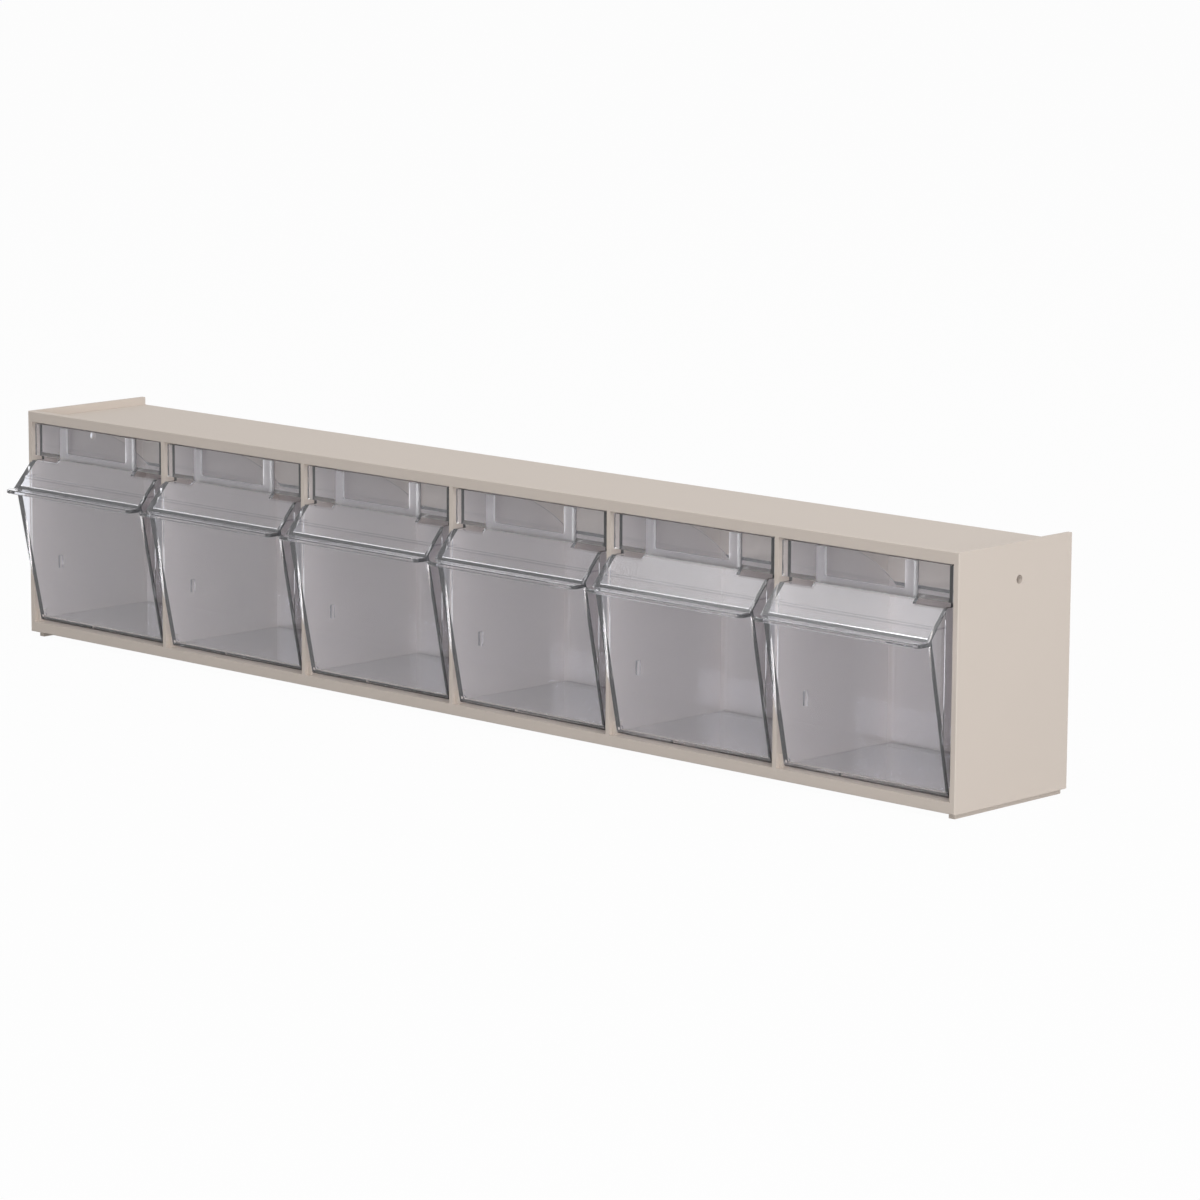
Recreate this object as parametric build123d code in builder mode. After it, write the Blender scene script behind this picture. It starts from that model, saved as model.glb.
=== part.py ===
from build123d import *
from math import acos, asin, cos, degrees, radians, sin, tan
import os

# A tip-out bin cabinet: one moulded frame with a row of clear bins that tilt out on moulded pins.
# All sizes are in millimetres. The front faces -Y. The origin is on the ground, under the middle
# of the whole object with its bins closed.

# Overall sizes
overall_width = 600.1
overall_depth = 95.25
overall_height = 114.3

# Frame: walls and rails
bay_count = 6
side_wall = 2.75
divider_wall = 2.2
back_wall = 2.0
bay_draft = 0.3  # degrees that each bay wall leans, so that the frame leaves its mould
top_rail_height = 5.2
top_rail_thickness = 3.0
bottom_rail_height = 5.1
bottom_rail_thickness = 3.0
frame_edge_radius = 0.5

# Frame: tray on the top, which takes the runners of a cabinet stacked on it
tray_recess = 3.8
tray_side_wall = 2.3

# Frame: underside
runner_height = 2.6
runner_width = 3.2
runner_side_clearance = 0.45
runner_front_clearance = 0.5
runner_rear_inset = 0.5
floor_thickness = 2.0
rib_thickness = 1.6

# Frame: holes
side_hole_radius = 1.95
side_hole_setback = 40.3  # behind the frame's front
side_hole_drop = 16.1  # below the top
wall_hole_radius = 2.5
wall_hole_drop = 17.0

# Frame: what carries the bins
block_setback = 1.9
block_side_gap = 0.7  # from a block to the bin's body beside it
block_height = 6.25
block_rear_wall = 2.4
block_edge_radius = 0.8
ledge_depth = 9.0
rest_gap = 0.3

# Bins: body
lip_reach = 19.75  # from the frame's front to the tip of a lip
bin_side_gap = 1.8
bin_floor_gap = 0.9
bin_rear_gap = 0.9
bin_wall = 1.8
bin_floor = 1.8
bin_taper = 3.0  # each side leans in by this much from front to back
bin_corner_radius = 2.6
bin_foot_radius = 1.5
face_setback = 2.4  # the face's foot, behind the frame's front
face_lean = 11.7
cheek_step = 0.8
cheek_step_reach = 2.55  # ahead of the frame's front

# Bins: upper panel, visor and lip
panel_top_gap = 1.1
panel_setback = 2.0
panel_thickness = 2.0
panel_height = 15.8
ear_gap = 0.35
slit_height = 2.0
visor_height = 14.9
visor_angle = 48.0
visor_thickness = 2.1  # near the lip
visor_step = 0.3  # the visor is thinner by this much above the step
visor_step_height = 4.9  # above the lip
lip_thickness = 1.8
lip_corner_radius = 3.2
lip_edge_chamfer = 0.4

# Bins: pads on the sides, which keep a bin between the walls
pad_setting = 15.9  # behind the frame's front
pad_level = 28.6  # above the bin's underside
pad_length = 2.0
pad_height = 6.4
pad_thickness = 1.2

# Bins: label holder
holder_width = 56.0
holder_projection = 2.0
holder_plate = 1.2
window_width = 44.6
window_sill = 3.2
window_corner_radius = 1.0
card_width = 54.4
card_sill = 0.8
holder_chamfer = 0.9

# Bins: pins and their travel
pin_radius = 1.25
pin_height = 2.5  # above the bin's underside
pin_clearance = 0.08
pin_end_gap = 0.3
pin_chamfer = 0.3
tilt_angle = 45.0
stop_clearance = 0.25

# Levels and planes of the frame
frame_front = lip_reach - overall_depth / 2
frame_rear = overall_depth / 2
frame_depth = frame_rear - frame_front
half_width = overall_width / 2
floor_top = runner_height + bottom_rail_height
ceiling = overall_height - top_rail_height
tray_floor = overall_height - tray_recess
bay_width = (overall_width - 2 * side_wall - (bay_count - 1) * divider_wall) / bay_count
bay_pitch = bay_width + divider_wall
bay_height = ceiling - floor_top
bay_depth = frame_depth - back_wall
bay_centres = [(index - (bay_count - 1) / 2) * bay_pitch for index in range(bay_count)]

# Levels and planes of a bin
bin_width = bay_width - 2 * bin_side_gap
bin_bottom = floor_top + bin_floor_gap
bin_rear = frame_rear - back_wall - bin_rear_gap
panel_top = ceiling - panel_top_gap
panel_foot = panel_top - panel_height
panel_front = frame_front + panel_setback
panel_rear = panel_front + panel_thickness
lip_top = panel_foot - visor_height
lip_bottom = lip_top - lip_thickness
visor_foot = frame_front - visor_height / tan(radians(visor_angle))
face_foot = frame_front + face_setback
lip_tip = frame_front - lip_reach
bin_half = bin_width / 2
side_half = bin_half - cheek_step
rear_half = bin_half - bin_taper
step_line = frame_front - cheek_step_reach


def face_line(level, inset=0.0):
    """Y of the bin's leaning front at a height, or of the surface that lies inset behind it."""
    lean = radians(face_lean)
    return face_foot - (level - bin_bottom) * tan(lean) + inset / cos(lean)


def side_line(setting):
    """Half the width of a bin's body at a place along Y, behind the step in its cheeks."""
    share = (setting - step_line) / (bin_rear - step_line)
    return side_half + share * (rear_half - side_half)


def visor_line(level, inset=0.0):
    """Y of the visor's top surface at a height, or of the surface that lies inset behind it."""
    slope = radians(visor_angle)
    return visor_foot + (level - lip_top) / tan(slope) + inset / sin(slope)


# The pin sits as far behind the rounded foot as lets the foot land on the rail at full tilt
foot_centre = face_line(bin_bottom + bin_foot_radius, bin_foot_radius)
pin_level = bin_bottom + pin_height
foot_drop = pin_level - floor_top - stop_clearance - bin_foot_radius
foot_rise = (pin_height - bin_foot_radius) * cos(radians(tilt_angle))
pin_line = foot_centre + (foot_drop - foot_rise) / sin(radians(tilt_angle))

# The plane of the frame's front, seen from inside: its own x runs along -X and its y along +Z
front_plane = Plane(origin=(0, frame_front, 0), x_dir=(-1, 0, 0), z_dir=(0, 1, 0))
rear_plane = Plane(origin=(0, frame_rear, 0), x_dir=(1, 0, 0), z_dir=(0, -1, 0))

os.makedirs("parts", exist_ok=True)

# Cabinet frame
runner_offset = half_width - tray_side_wall - runner_side_clearance - runner_width / 2
runner_front = frame_front + top_rail_thickness + runner_front_clearance
runner_length = frame_rear - runner_rear_inset - runner_front
pocket_half_width = runner_offset - runner_width / 2
pocket_front = frame_front + bottom_rail_thickness
pocket_length = frame_rear - back_wall - pocket_front
pocket_middle = pocket_front + pocket_length / 2
divider_centres = [centre + bay_pitch / 2 for centre in bay_centres[:-1]]
wall_hole_centres = (bay_centres[1], bay_centres[-2])
block_front = frame_front + block_setback
slot_radius = pin_radius + pin_clearance
block_length = pin_line + slot_radius + block_rear_wall - block_front
block_width = bin_side_gap + cheek_step - block_side_gap

# The space of one bay, with walls that lean a little towards the back
with BuildPart() as bay_space:
    with BuildSketch(front_plane):
        with Locations((0, floor_top + bay_height / 2)):
            Rectangle(bay_width, bay_height)
    extrude(amount=bay_depth)
    draft(bay_space.faces().filter_by(Axis.Y, reverse=True), front_plane, bay_draft)

with BuildPart() as cabinet_frame:
    # Outer block, with its front edges eased
    with BuildSketch(Plane.XY.offset(runner_height)):
        with Locations((0, frame_front)):
            Rectangle(overall_width, frame_depth, align=(Align.CENTER, Align.MIN))
    extrude(amount=overall_height - runner_height)
    fillet(cabinet_frame.faces().sort_by(Axis.Y)[0].edges(), frame_edge_radius)

    # Bays
    with Locations(*[(centre, 0, 0) for centre in bay_centres]):
        add(bay_space.part, mode=Mode.SUBTRACT)

    # Tray, open at the rear
    with BuildSketch(Plane.XY.offset(tray_floor)):
        with Locations((0, frame_front + top_rail_thickness)):
            Rectangle(
                overall_width - 2 * tray_side_wall,
                frame_depth - top_rail_thickness,
                align=(Align.CENTER, Align.MIN),
            )
    extrude(amount=tray_recess, mode=Mode.SUBTRACT)

    # Pockets under the floor, with a rib below each divider and one along the middle
    with BuildSketch(Plane.XY.offset(runner_height)):
        with Locations((0, pocket_middle)):
            Rectangle(2 * pocket_half_width, pocket_length)
            Rectangle(2 * pocket_half_width, rib_thickness, mode=Mode.SUBTRACT)
        with Locations(*[(centre, pocket_middle) for centre in divider_centres]):
            Rectangle(divider_wall, pocket_length, mode=Mode.SUBTRACT)
    extrude(amount=bottom_rail_height - floor_thickness, mode=Mode.SUBTRACT)

    # Runners that stand on the ground, or nest in the tray of the cabinet below
    with BuildSketch():
        with Locations((-runner_offset, runner_front), (runner_offset, runner_front)):
            Rectangle(runner_width, runner_length, align=(Align.CENTER, Align.MIN))
    extrude(amount=runner_height)

    # Ledge along the foot of the back wall, on which closed bins rest
    with BuildSketch(Plane.XY.offset(floor_top)):
        with Locations((0, frame_rear - back_wall)):
            Rectangle(overall_width - 2 * side_wall, ledge_depth, align=(Align.CENTER, Align.MAX))
    extrude(amount=bin_floor_gap - rest_gap)

    # Pivot blocks with open slots for the pins, one at each lower corner of a bay
    for centre in bay_centres:
        for side in (-1, 1):
            inner_face = centre + side * (bay_width / 2 - block_width)
            with BuildSketch(Plane.YZ.offset(inner_face)) as block:
                with Locations((block_front, floor_top)):
                    Rectangle(block_length, block_height, align=(Align.MIN, Align.MIN))
                fillet(block.vertices().group_by(Axis.Y)[-1], block_edge_radius)
                with Locations((pin_line, pin_level)):
                    Circle(slot_radius, mode=Mode.SUBTRACT)
                    Rectangle(
                        2 * slot_radius,
                        block_height,
                        align=(Align.CENTER, Align.MIN),
                        mode=Mode.SUBTRACT,
                    )
            extrude(amount=side * block_width)

    # Holes in the sides, for joining cabinets, and in the back, for hanging on a wall
    for side in (-1, 1):
        with BuildSketch(Plane.YZ.offset(side * half_width)):
            with Locations((frame_front + side_hole_setback, overall_height - side_hole_drop)):
                Circle(side_hole_radius)
        extrude(amount=-side * 2 * side_wall, mode=Mode.SUBTRACT)
    with BuildSketch(rear_plane):
        with Locations(*[(centre, overall_height - wall_hole_drop) for centre in wall_hole_centres]):
            Circle(wall_hole_radius)
    extrude(amount=2 * back_wall, mode=Mode.SUBTRACT)
cabinet_frame.part.label = "cabinet_frame"
export_step(cabinet_frame.part, "parts/cabinet_frame.step")

# Tip-out bin, made once about the middle of its bay
ear_half = bay_width / 2 - ear_gap
inner_floor = bin_bottom + bin_floor
inner_rear = bin_rear - bin_wall
sweep_radius = panel_top - pin_level
sweep_start = degrees(acos((bin_rear - pin_line) / sweep_radius))
sweep_end = 90 + degrees(asin((pin_line - panel_rear) / sweep_radius))

# Where the inner surfaces of the face, the visor and the panel meet
face_slope = tan(radians(face_lean))
visor_slope = 1 / tan(radians(visor_angle))
apex_level = lip_top + (face_line(lip_top, bin_wall) - visor_line(lip_top, visor_thickness)) / (
    visor_slope + face_slope
)
step_level = lip_top + visor_step_height
thin_visor = visor_thickness - visor_step
bend_level = lip_top + (panel_rear - visor_line(lip_top, thin_visor)) / visor_slope

with BuildPart() as bin_hollow:
    with BuildSketch(Plane.YZ) as hollow_profile:
        with BuildLine():
            Polyline(
                (face_line(inner_floor, bin_wall), inner_floor),
                (face_line(apex_level, bin_wall), apex_level),
                (visor_line(step_level, visor_thickness), step_level),
                (visor_line(step_level, thin_visor), step_level),
                (panel_rear, bend_level),
                (panel_rear, overall_height),
                (inner_rear, overall_height),
                (inner_rear, inner_floor),
                close=True,
            )
        make_face()
        fillet(hollow_profile.vertices().group_by(Axis.Y)[0], bin_foot_radius)
    extrude(amount=bin_half, both=True)
    with BuildSketch(Plane.XY.offset(bin_bottom)) as hollow_plan:
        with BuildLine():
            Polyline(
                (0, lip_tip),
                (side_half - bin_wall, lip_tip),
                (side_half - bin_wall, step_line),
                (rear_half - bin_wall, inner_rear),
                (0, inner_rear),
            )
            mirror(about=Plane.YZ)
        make_face()
        fillet(hollow_plan.vertices().group_by(Axis.Y)[-1], bin_corner_radius - bin_wall)
    extrude(amount=overall_height, mode=Mode.INTERSECT)

with BuildPart() as tip_out_bin:
    # Body: the side profile across the full width, trimmed to the plan
    with BuildSketch(Plane.YZ) as side_profile:
        with BuildLine():
            sweep = CenterArc((pin_line, pin_level), sweep_radius, sweep_start, sweep_end - sweep_start)
            Polyline(
                sweep @ 1,
                (panel_rear, panel_top),
                (panel_front, panel_top),
                (panel_front, panel_foot),
                (frame_front, panel_foot),
                (visor_foot, lip_top),
                (visor_foot, lip_bottom),
                (face_line(lip_bottom), lip_bottom),
                (face_foot, bin_bottom),
                (bin_rear, bin_bottom),
                sweep @ 0,
            )
        make_face()
        fillet(side_profile.vertices().group_by(Axis.Y)[0], bin_foot_radius)
    extrude(amount=bin_half, both=True)
    with BuildSketch(Plane.XY.offset(bin_bottom)) as bin_plan:
        with BuildLine():
            Polyline(
                (0, lip_tip),
                (bin_half, lip_tip),
                (bin_half, step_line),
                (side_half, step_line),
                (rear_half, bin_rear),
                (0, bin_rear),
            )
            mirror(about=Plane.YZ)
        make_face()
        fillet(bin_plan.vertices().group_by(Axis.Y)[-1], bin_corner_radius)
    extrude(amount=overall_height, mode=Mode.INTERSECT)

    # Lip to pull the bin by
    with BuildSketch(Plane.XY.offset(lip_bottom)) as lip_plan:
        with Locations((0, lip_tip)):
            Rectangle(bin_width, visor_foot - lip_tip, align=(Align.CENTER, Align.MIN))
        fillet(lip_plan.vertices().group_by(Axis.Y)[0], lip_corner_radius)
    extrude(amount=lip_thickness)
    lip_front = tip_out_bin.faces().sort_by(Axis.Y)[0]
    chamfer(lip_front.edges().filter_by(Axis.X), lip_edge_chamfer)

    # Upper panel, with an ear past each side of the body
    with BuildSketch(front_plane.offset(panel_setback)):
        with Locations((0, panel_foot)):
            Rectangle(2 * ear_half, panel_height, align=(Align.CENTER, Align.MIN))
    extrude(amount=panel_thickness)

    # Hollow
    add(bin_hollow.part, mode=Mode.SUBTRACT)

    # Slits that part the ears from the visor
    with BuildSketch(Plane.XY.offset(panel_foot)):
        for side in (-1, 1):
            with Locations((side * (holder_width / 2 + ear_half) / 2, visor_foot)):
                Rectangle(
                    ear_half - holder_width / 2,
                    panel_rear - visor_foot,
                    align=(Align.CENTER, Align.MIN),
                )
    extrude(amount=-slit_height, mode=Mode.SUBTRACT)

    # Label holder: a raised frame with a slot behind it for a card, open at the top
    with BuildSketch(Plane.XY.offset(panel_foot)) as holder_plan:
        with Locations((0, panel_front)):
            Rectangle(holder_width, holder_projection, align=(Align.CENTER, Align.MAX))
        chamfer(holder_plan.vertices().group_by(Axis.Y)[0], holder_chamfer)
    extrude(amount=panel_height)
    with BuildSketch(front_plane.offset(panel_setback)):
        with Locations((0, panel_foot + card_sill)):
            Rectangle(card_width, panel_height, align=(Align.CENTER, Align.MIN))
    extrude(amount=holder_plate - holder_projection, mode=Mode.SUBTRACT)
    with BuildSketch(front_plane.offset(panel_setback)) as window:
        with Locations((0, panel_foot + window_sill)):
            Rectangle(window_width, panel_height, align=(Align.CENTER, Align.MIN))
        fillet(window.vertices().group_by(Axis.Y)[0], window_corner_radius)
    extrude(amount=-holder_projection, mode=Mode.SUBTRACT)

    # Pads on the outside of the walls
    pad_line = frame_front + pad_setting
    for side in (-1, 1):
        pad_root = side * (side_line(pad_line) - bin_wall / 2)
        with BuildSketch(Plane.YZ.offset(pad_root)):
            with Locations((pad_line, bin_bottom + pad_level)):
                Rectangle(pad_length, pad_height)
        extrude(amount=side * (side_line(pad_line) + pad_thickness) - pad_root)

    # Pins that the bin tilts on
    for side in (-1, 1):
        pin_root = side * (side_line(pin_line) - bin_wall / 2)
        with BuildSketch(Plane.YZ.offset(pin_root)):
            with Locations((pin_line, pin_level)):
                Circle(pin_radius)
        extrude(amount=side * (bay_width / 2 - pin_end_gap) - pin_root)
    chamfer(tip_out_bin.edges().filter_by(GeomType.CIRCLE).group_by(Axis.X)[-1], pin_chamfer)
    chamfer(tip_out_bin.edges().filter_by(GeomType.CIRCLE).group_by(Axis.X)[0], pin_chamfer)

for number, centre in enumerate(bay_centres, start=1):
    name = f"tip_out_bin_{number}"
    with BuildPart() as placed_bin:
        with Locations((centre, 0, 0)):
            add(tip_out_bin.part)
    placed_bin.part.label = name
    export_step(placed_bin.part, f"parts/{name}.step")
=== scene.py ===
"""The looks of a cabinet of clear tip-out bins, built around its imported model."""

import logging
import math
from dataclasses import dataclass, field
from enum import Enum
from typing import Any

import bpy
from mathutils import Matrix, Vector

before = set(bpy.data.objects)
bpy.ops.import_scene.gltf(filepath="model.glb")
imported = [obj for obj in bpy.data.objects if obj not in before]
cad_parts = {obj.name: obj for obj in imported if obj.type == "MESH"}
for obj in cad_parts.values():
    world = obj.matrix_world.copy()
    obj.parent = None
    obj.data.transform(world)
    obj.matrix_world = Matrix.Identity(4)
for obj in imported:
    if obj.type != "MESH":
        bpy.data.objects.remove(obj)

log = logging.getLogger("tip_out_cabinet")

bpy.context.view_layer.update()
PICTURE_SIDE = 1200  # pixels on each side of the picture
Colour = tuple[float, float, float, float]
WHITE: Colour = (1.0, 1.0, 1.0, 1.0)
WHITE_GLOW = 1.0  # the strength at which a glow looks plain white
NOISE_MIDDLE = 0.5


class Target(Enum):
    """The output node of each kind of node tree."""

    MATERIAL = "ShaderNodeOutputMaterial"
    WORLD = "ShaderNodeOutputWorld"
    LAMP = "ShaderNodeOutputLight"


class Sock:
    """One node socket, with arithmetic that adds Math nodes."""

    def __init__(self, shader: "Shader", socket: bpy.types.NodeSocket) -> None:
        """Wraps a socket of the given shader's tree."""
        self.shader = shader
        self.socket = socket

    def _math(self, operation: str, *values: "Sock | float") -> "Sock":
        """Adds one Math node.

        Args:
            operation: the Math node's operation.
            values: its inputs in order.

        Returns:
            The node's output.
        """
        return self.shader.node("ShaderNodeMath", {"operation": operation}, dict(enumerate(values)))

    def __add__(self, other: "Sock | float") -> "Sock":
        """Sum."""
        return self._math("ADD", self, other)

    __radd__ = __add__

    def __sub__(self, other: "Sock | float") -> "Sock":
        """Difference."""
        return self._math("SUBTRACT", self, other)

    def __rsub__(self, other: float) -> "Sock":
        """Difference from a number."""
        return self._math("SUBTRACT", other, self)

    def __mul__(self, other: "Sock | float") -> "Sock":
        """Product."""
        return self._math("MULTIPLY", self, other)

    __rmul__ = __mul__

    def __gt__(self, other: "Sock | float") -> "Sock":
        """One where this is greater, and zero elsewhere."""
        return self._math("GREATER_THAN", self, other)

    def __lt__(self, other: "Sock | float") -> "Sock":
        """One where this is less, and zero elsewhere."""
        return self._math("LESS_THAN", self, other)

    def either(self, other: "Sock | float") -> "Sock":
        """The greater of the two."""
        return self._math("MAXIMUM", self, other)

    def lesser(self, other: "Sock | float") -> "Sock":
        """The lesser of the two."""
        return self._math("MINIMUM", self, other)


class Shader:
    """The node tree of a material, world or lamp, and the few ways it is built here."""

    def __init__(self, owner: bpy.types.ID, target: Target = Target.MATERIAL) -> None:
        """Empties the owner's node tree and gives it an output.

        Args:
            owner: the material, world or lamp.
            target: which of these it is.
        """
        owner.use_nodes = True
        self.owner = owner
        self.tree = owner.node_tree
        self.tree.nodes.clear()
        self.output = self.tree.nodes.new(target.value)

    def node(
        self,
        kind: str,
        settings: dict[str, Any] | None = None,
        inputs: dict[str | int, Any] | None = None,
        output: str | int = 0,
    ) -> Sock:
        """Adds one node.

        Args:
            kind: the node's type.
            settings: its properties, which are set first.
            inputs: values or links of its sockets, by name or number.
            output: which of its outputs is returned.

        Returns:
            The chosen output.
        """
        made = self.tree.nodes.new(kind)
        for key, value in (settings or {}).items():
            setattr(made, key, value)
        for key, value in (inputs or {}).items():
            if isinstance(value, Sock):
                self.tree.links.new(value.socket, made.inputs[key])
            else:
                made.inputs[key].default_value = value
        return Sock(self, made.outputs[output])

    def place(self) -> Sock:
        """The point on the object, in the frame's metres."""
        return self.node("ShaderNodeTexCoord", output="Object")

    def seen_ray(self) -> Sock:
        """Tells the rays of the camera, also those that come by gloss or through glass.

        Returns:
            One on these rays, and zero on others.
        """
        camera = self.node("ShaderNodeLightPath", output="Is Camera Ray")
        glossy = self.node("ShaderNodeLightPath", output="Is Glossy Ray")
        through = self.node("ShaderNodeLightPath", output="Is Transmission Ray")
        return camera.either(glossy).either(through)

    def axes(self, place: Sock) -> tuple[Sock, Sock, Sock]:
        """Parts a vector.

        Args:
            place: the vector.

        Returns:
            Its X, Y and Z.
        """
        first = self.node("ShaderNodeSeparateXYZ", inputs={0: place})
        outputs = first.socket.node.outputs
        return Sock(self, outputs[0]), Sock(self, outputs[1]), Sock(self, outputs[2])

    def noise(self, place: Sock, scale: float, detail: float = 2.0) -> Sock:
        """A noise between 0 and 1.

        Args:
            place: where it is read.
            scale: spots in a metre.
            detail: how many finer layers it has.

        Returns:
            The noise's value.
        """
        return self.node("ShaderNodeTexNoise", inputs={"Vector": place, "Scale": scale, "Detail": detail})

    def blend(self, first: Colour | Sock, second: Colour, share: Sock) -> Sock:
        """A mix of two colours."""
        settings = {"data_type": "RGBA"}
        return self.node("ShaderNodeMix", settings, {"Factor": share, "A": first, "B": second}, "Result")

    def bump(self, height: Sock, strength: float, distance: float) -> Sock:
        """A normal raised by a height.

        Args:
            height: from 0 to 1.
            strength: share of the bump that is used.
            distance: metres that a height of 1 stands for.

        Returns:
            The bumped normal.
        """
        inputs = {"Height": height, "Strength": strength, "Distance": distance}
        return self.node("ShaderNodeBump", inputs=inputs)

    def finish(self, surface: Sock) -> bpy.types.ID:
        """Joins the surface to the output and returns the owner."""
        self.tree.links.new(surface.socket, self.output.inputs["Surface"])
        return self.owner


@dataclass(frozen=True)
class MouldedPlastic:
    """Opaque beige plastic with a fine satin texture from its mould."""

    name: str = "stone_plastic"
    light: Colour = (0.582, 0.515, 0.460, 1.0)
    dark: Colour = (0.562, 0.497, 0.442, 1.0)
    roughness: float = 0.64
    roughness_spread: float = 0.10
    flow_scale: float = 14.0  # scales are spots in a metre
    grain_scale: float = 2600.0
    grain_detail: float = 1.0
    grain_height: float = 0.00002
    grain_strength: float = 0.35
    ior: float = 1.5

    def build(self) -> bpy.types.Material:
        """Makes the material.

        Returns:
            The material.
        """
        shader = Shader(bpy.data.materials.new(self.name))
        place = shader.place()
        flow = shader.noise(place, self.flow_scale)
        grain = shader.noise(place, self.grain_scale, self.grain_detail)
        surface = shader.node(
            "ShaderNodeBsdfPrincipled",
            inputs={
                "Base Color": shader.blend(self.dark, self.light, flow),
                "Roughness": self.roughness + (flow - NOISE_MIDDLE) * self.roughness_spread,
                "Normal": shader.bump(grain, self.grain_strength, self.grain_height),
                "IOR": self.ior,
            },
        )
        return shader.finish(surface)


@dataclass(frozen=True)
class ClearPlastic:
    """Clear plastic with a faint lilac tint, which lets lamp light through."""

    name: str = "clear_plastic"
    tint: Colour = (0.938, 0.942, 0.978, 1.0)
    # painted shade: the darker tint of a faint line across the visors
    painted_shade_line_tint: Colour = (0.66, 0.66, 0.70, 1.0)
    # painted light: a lighter tint that makes the label holders look brighter, as if lit
    holder_painted_light_tint: Colour = (0.980, 0.970, 1.0, 1.0)
    shadow: Colour = (0.79, 0.787, 0.805, 1.0)
    holder_roughness: float = 0.35  # the holders are satin, and the rest is polished
    ior: float = 1.58
    clearness: float = 0.975  # the rest is a faint haze
    relief: float = 0.000015  # metres of the stipple's height
    relief_strength: float = 1.0
    stipple_scale: float = 1100.0
    stipple_detail: float = 0.0
    ripple_scale: float = 90.0
    ripple_share: float = 0.16  # of the stipple's height
    visor_front: float = -0.0285  # Y that only the visors and their cheeks lie ahead of
    visor_foot: float = 0.0780  # just above the lips
    painted_shade_line_foot: float = 0.0819  # lower edge of a thin band of painted shade across the visors, seen as a faint line; no step is modelled
    painted_shade_line_top: float = 0.0825
    holder_front: float = -0.0260  # Y that only the holders lie ahead of, above their foot
    holder_foot: float = 0.0923  # just above the holders' lower edge

    def build(self) -> bpy.types.Material:
        """Makes the material.

        Returns:
            The material.
        """
        shader = Shader(bpy.data.materials.new(self.name))
        place = shader.place()
        _, ahead, level = shader.axes(place)
        ripple = shader.noise(place, self.ripple_scale)
        on_visor = (ahead < self.visor_front) * (level > self.visor_foot)
        stipple = shader.noise(place, self.stipple_scale, self.stipple_detail) * on_visor
        # painted shade: a thin band across the visors, where a faint dark line is painted
        on_painted_shade_line = on_visor * (level > self.painted_shade_line_foot) * (level < self.painted_shade_line_top)
        on_holder = (ahead < self.holder_front) * (level > self.holder_foot)
        # painted light: the label holders get a lighter tint
        tint_with_painted_holder_light = shader.blend(self.tint, self.holder_painted_light_tint, on_holder)
        colour = shader.blend(tint_with_painted_holder_light, self.painted_shade_line_tint, on_painted_shade_line)
        relief = stipple + ripple * self.ripple_share
        glass = shader.node(
            "ShaderNodeBsdfPrincipled",
            inputs={
                "Base Color": colour,
                "Roughness": on_holder * self.holder_roughness,
                "IOR": self.ior,
                "Transmission Weight": self.clearness,
                "Normal": shader.bump(relief, self.relief_strength, self.relief),
            },
        )
        let_through = shader.node("ShaderNodeBsdfTransparent", inputs={"Color": self.shadow})
        lamp_ray = shader.node("ShaderNodeLightPath", output="Is Shadow Ray")
        surface = shader.node("ShaderNodeMixShader", inputs={0: lamp_ray, 1: glass, 2: let_through})
        return shader.finish(surface)


class Lamp(Enum):
    """The studio's soft lamps."""

    KEY = "key"
    SIDE = "side"
    FRONT = "front"
    VISOR = "visor"


@dataclass
class SoftBox:
    """One rectangular lamp."""

    lamp: Lamp
    place: tuple[float, float, float]
    aim: tuple[float, float, float]
    size: tuple[float, float]
    power: float  # watts
    fade: float = 0.0  # share of the lamp's width over which each rim fades out

    def build(self) -> bpy.types.Object:
        """Makes the lamp and points it.

        Returns:
            The lamp.
        """
        data = bpy.data.lights.new(self.lamp.value, "AREA")
        data.shape = "RECTANGLE"
        data.size, data.size_y = self.size
        data.energy = self.power
        if self.fade:
            self.soften(data)
        lamp = bpy.data.objects.new(self.lamp.value, data)
        bpy.context.scene.collection.objects.link(lamp)
        lamp.location = self.place
        lamp.rotation_euler = (Vector(self.aim) - Vector(self.place)).to_track_quat("-Z", "Y").to_euler()
        return lamp

    def soften(self, data: bpy.types.AreaLight) -> None:
        """Fades the lamp out at two rims, so that a mirror image of it has no hard edge there.

        Args:
            data: the lamp's data.
        """
        shader = Shader(data, Target.LAMP)
        along, _, _ = shader.axes(shader.node("ShaderNodeNewGeometry", output="Parametric"))
        nearest = along.lesser(1.0 - along)
        settings = {"interpolation_type": "SMOOTHSTEP"}
        inputs = {"Value": nearest, "From Max": self.fade}
        strength = shader.node("ShaderNodeMapRange", settings, inputs)
        shader.finish(shader.node("ShaderNodeEmission", inputs={"Strength": strength}))


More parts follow.
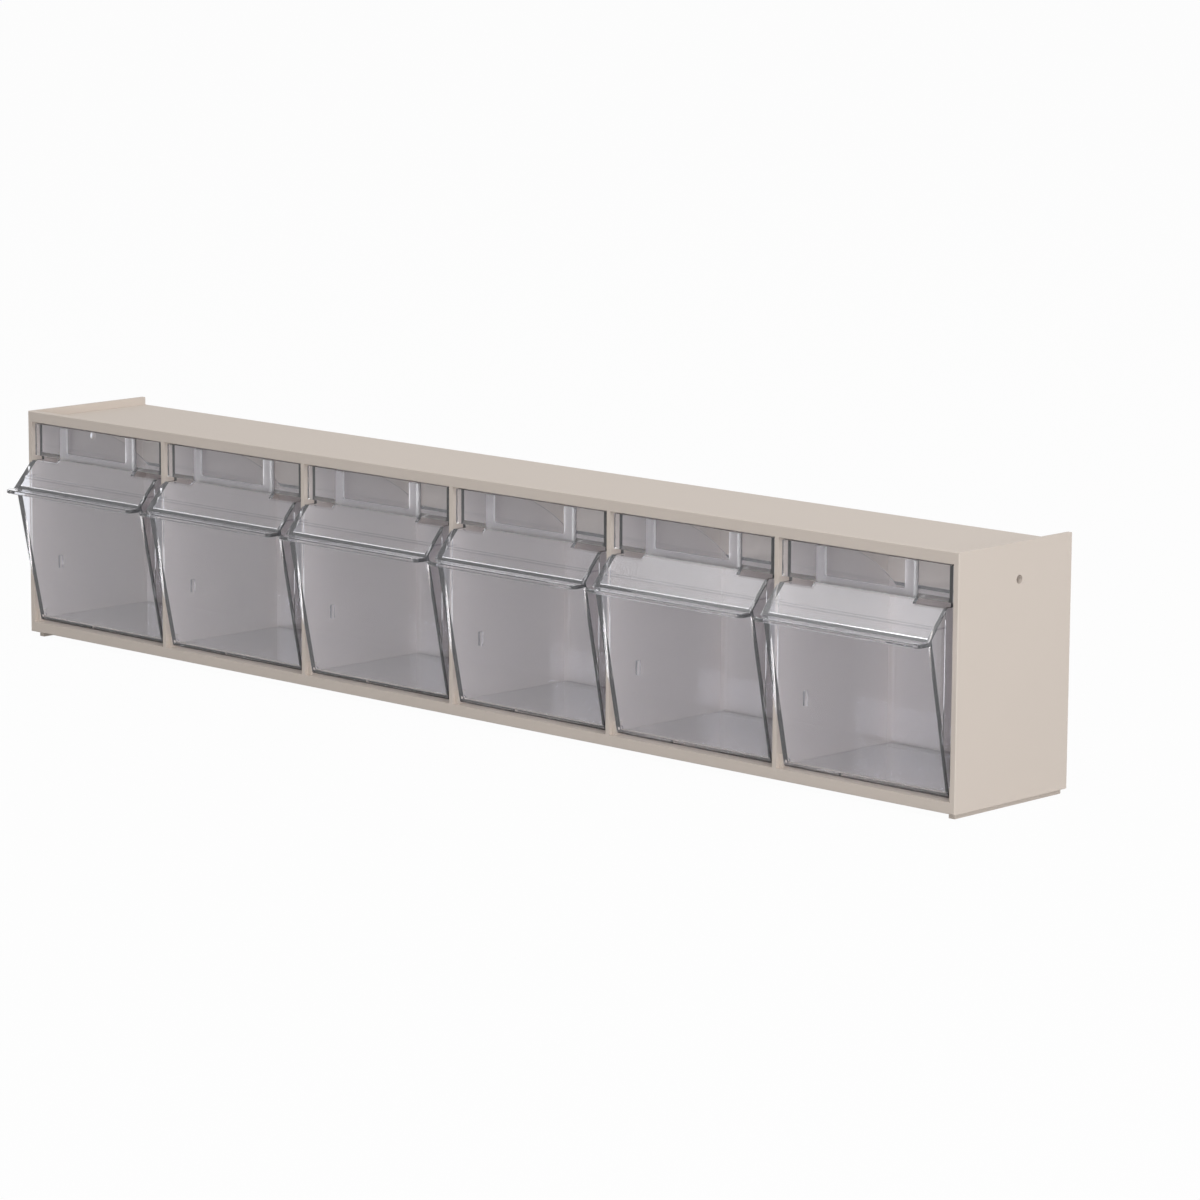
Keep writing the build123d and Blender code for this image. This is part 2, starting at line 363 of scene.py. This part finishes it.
@dataclass
class Viewpoint:
    """The camera, at the photograph's viewing angle."""

    place: tuple[float, float, float] = (1.5562, -1.5670, 0.4465)
    turn: float = 0.7596  # radians to the left of straight ahead
    dip: float = 0.1763  # radians below level
    roll: float = 0.0055  # radians
    focal_pixels: float = 4839.4  # focal length, in pixels of the picture
    sensor: float = 36.0  # millimetres
    nearest: float = 0.05
    farthest: float = 100.0

    def build(self) -> bpy.types.Object:
        """Makes the camera and makes it the scene's own.

        Returns:
            The camera.
        """
        ahead = Vector((
            -math.sin(self.turn) * math.cos(self.dip),
            math.cos(self.turn) * math.cos(self.dip),
            -math.sin(self.dip),
        ))
        level_right = ahead.cross(Vector((0, 0, 1))).normalized()
        level_up = level_right.cross(ahead)
        right = level_right * math.cos(self.roll) + level_up * math.sin(self.roll)
        up = level_up * math.cos(self.roll) - level_right * math.sin(self.roll)
        data = bpy.data.cameras.new("camera")
        data.sensor_width = self.sensor
        data.lens = self.focal_pixels * self.sensor / PICTURE_SIDE
        data.clip_start = self.nearest
        data.clip_end = self.farthest
        camera = bpy.data.objects.new("camera", data)
        bpy.context.scene.collection.objects.link(camera)
        turned = Matrix((right, up, -ahead)).transposed().to_4x4()
        camera.matrix_world = Matrix.Translation(self.place) @ turned
        bpy.context.scene.camera = camera
        return camera


MIDDLE = (0.0, 0.0, 0.05)  # about the middle of the cabinet


@dataclass
class Studio:
    """Floor, world, lamps and camera."""

    floor_side: float = 14.0
    floor_colour: Colour = (0.50, 0.50, 0.50, 1.0)
    floor_glow: float = 0.97  # share of the floor's look that is plain white
    world_strength: float = 0.36
    viewpoint: Viewpoint = field(default_factory=Viewpoint)
    lamps: list[SoftBox] = field(default_factory=lambda: [
        SoftBox(Lamp.KEY, (1.2, -0.4, 2.2), MIDDLE, (1.8, 1.8), 26.0),
        SoftBox(Lamp.SIDE, (2.6, 0.1, 0.9), MIDDLE, (1.2, 1.2), 16.2),
        SoftBox(Lamp.FRONT, (1.9, -1.9, 0.45), MIDDLE, (1.0, 0.6), 25.0),
        SoftBox(Lamp.VISOR, (-0.88, -0.37, 1.72), (0.2, 0, 0.08), (2.4, 0.9), 10.0, 0.4),
    ])

    def build(self) -> None:
        """Sets up everything that isn't part of the object."""
        self.make_floor()
        self.make_world()
        for lamp in self.lamps:
            lamp.build()
        self.viewpoint.build()
        bpy.context.scene.view_settings.view_transform = "Standard"
        log.info("studio: floor, world, %d lamps and camera", len(self.lamps))

    def make_floor(self) -> None:
        """Makes the pale floor, which looks white but keeps the object's shadow."""
        half = self.floor_side / 2
        mesh = bpy.data.meshes.new("floor")
        corners = [(-half, -half, 0), (half, -half, 0), (half, half, 0), (-half, half, 0)]
        mesh.from_pydata(corners, [], [(0, 1, 2, 3)])
        floor = bpy.data.objects.new("floor", mesh)
        bpy.context.scene.collection.objects.link(floor)
        shader = Shader(bpy.data.materials.new("floor"))
        matt = shader.node("ShaderNodeBsdfDiffuse", inputs={"Color": self.floor_colour})
        white = shader.node("ShaderNodeEmission", inputs={"Strength": WHITE_GLOW})
        seen = shader.seen_ray()
        surface = shader.node("ShaderNodeMixShader", inputs={0: seen * self.floor_glow, 1: matt, 2: white})
        mesh.materials.append(shader.finish(surface))

    def make_world(self) -> None:
        """Makes the world light the object softly and look white behind it."""
        world = bpy.data.worlds.new("studio")
        bpy.context.scene.world = world
        shader = Shader(world, Target.WORLD)
        soft = shader.node("ShaderNodeBackground", inputs={"Color": WHITE, "Strength": self.world_strength})
        white = shader.node("ShaderNodeBackground", inputs={"Color": WHITE, "Strength": WHITE_GLOW})
        seen = shader.seen_ray()
        shader.finish(shader.node("ShaderNodeMixShader", inputs={0: seen, 1: soft, 2: white}))


def dress_node(node: str, material: bpy.types.Material) -> None:
    """Gives one node of the frame its material.

    Args:
        node: the node's name.
        material: its finish.
    """
    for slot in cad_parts[node].material_slots:
        slot.material = material
    log.info("%s: %s", node, material.name)


@dataclass
class Cabinet:
    """The beige frame."""

    node: str = "cabinet_frame"
    finish: MouldedPlastic = field(default_factory=MouldedPlastic)

    def dress(self) -> None:
        """Gives the frame its plastic."""
        dress_node(self.node, self.finish.build())


@dataclass
class BinRow:
    """The clear bins, all alike."""

    count: int = 6
    finish: ClearPlastic = field(default_factory=ClearPlastic)

    def dress(self) -> None:
        """Gives every bin its plastic."""
        material = self.finish.build()
        for number in range(1, self.count + 1):
            dress_node(f"tip_out_bin_{number}", material)


def main() -> None:
    """Builds the studio and dresses the cabinet."""
    Studio().build()
    Cabinet().dress()
    BinRow().dress()


if __name__ == "__main__":
    logging.basicConfig(level=logging.INFO)
    main()
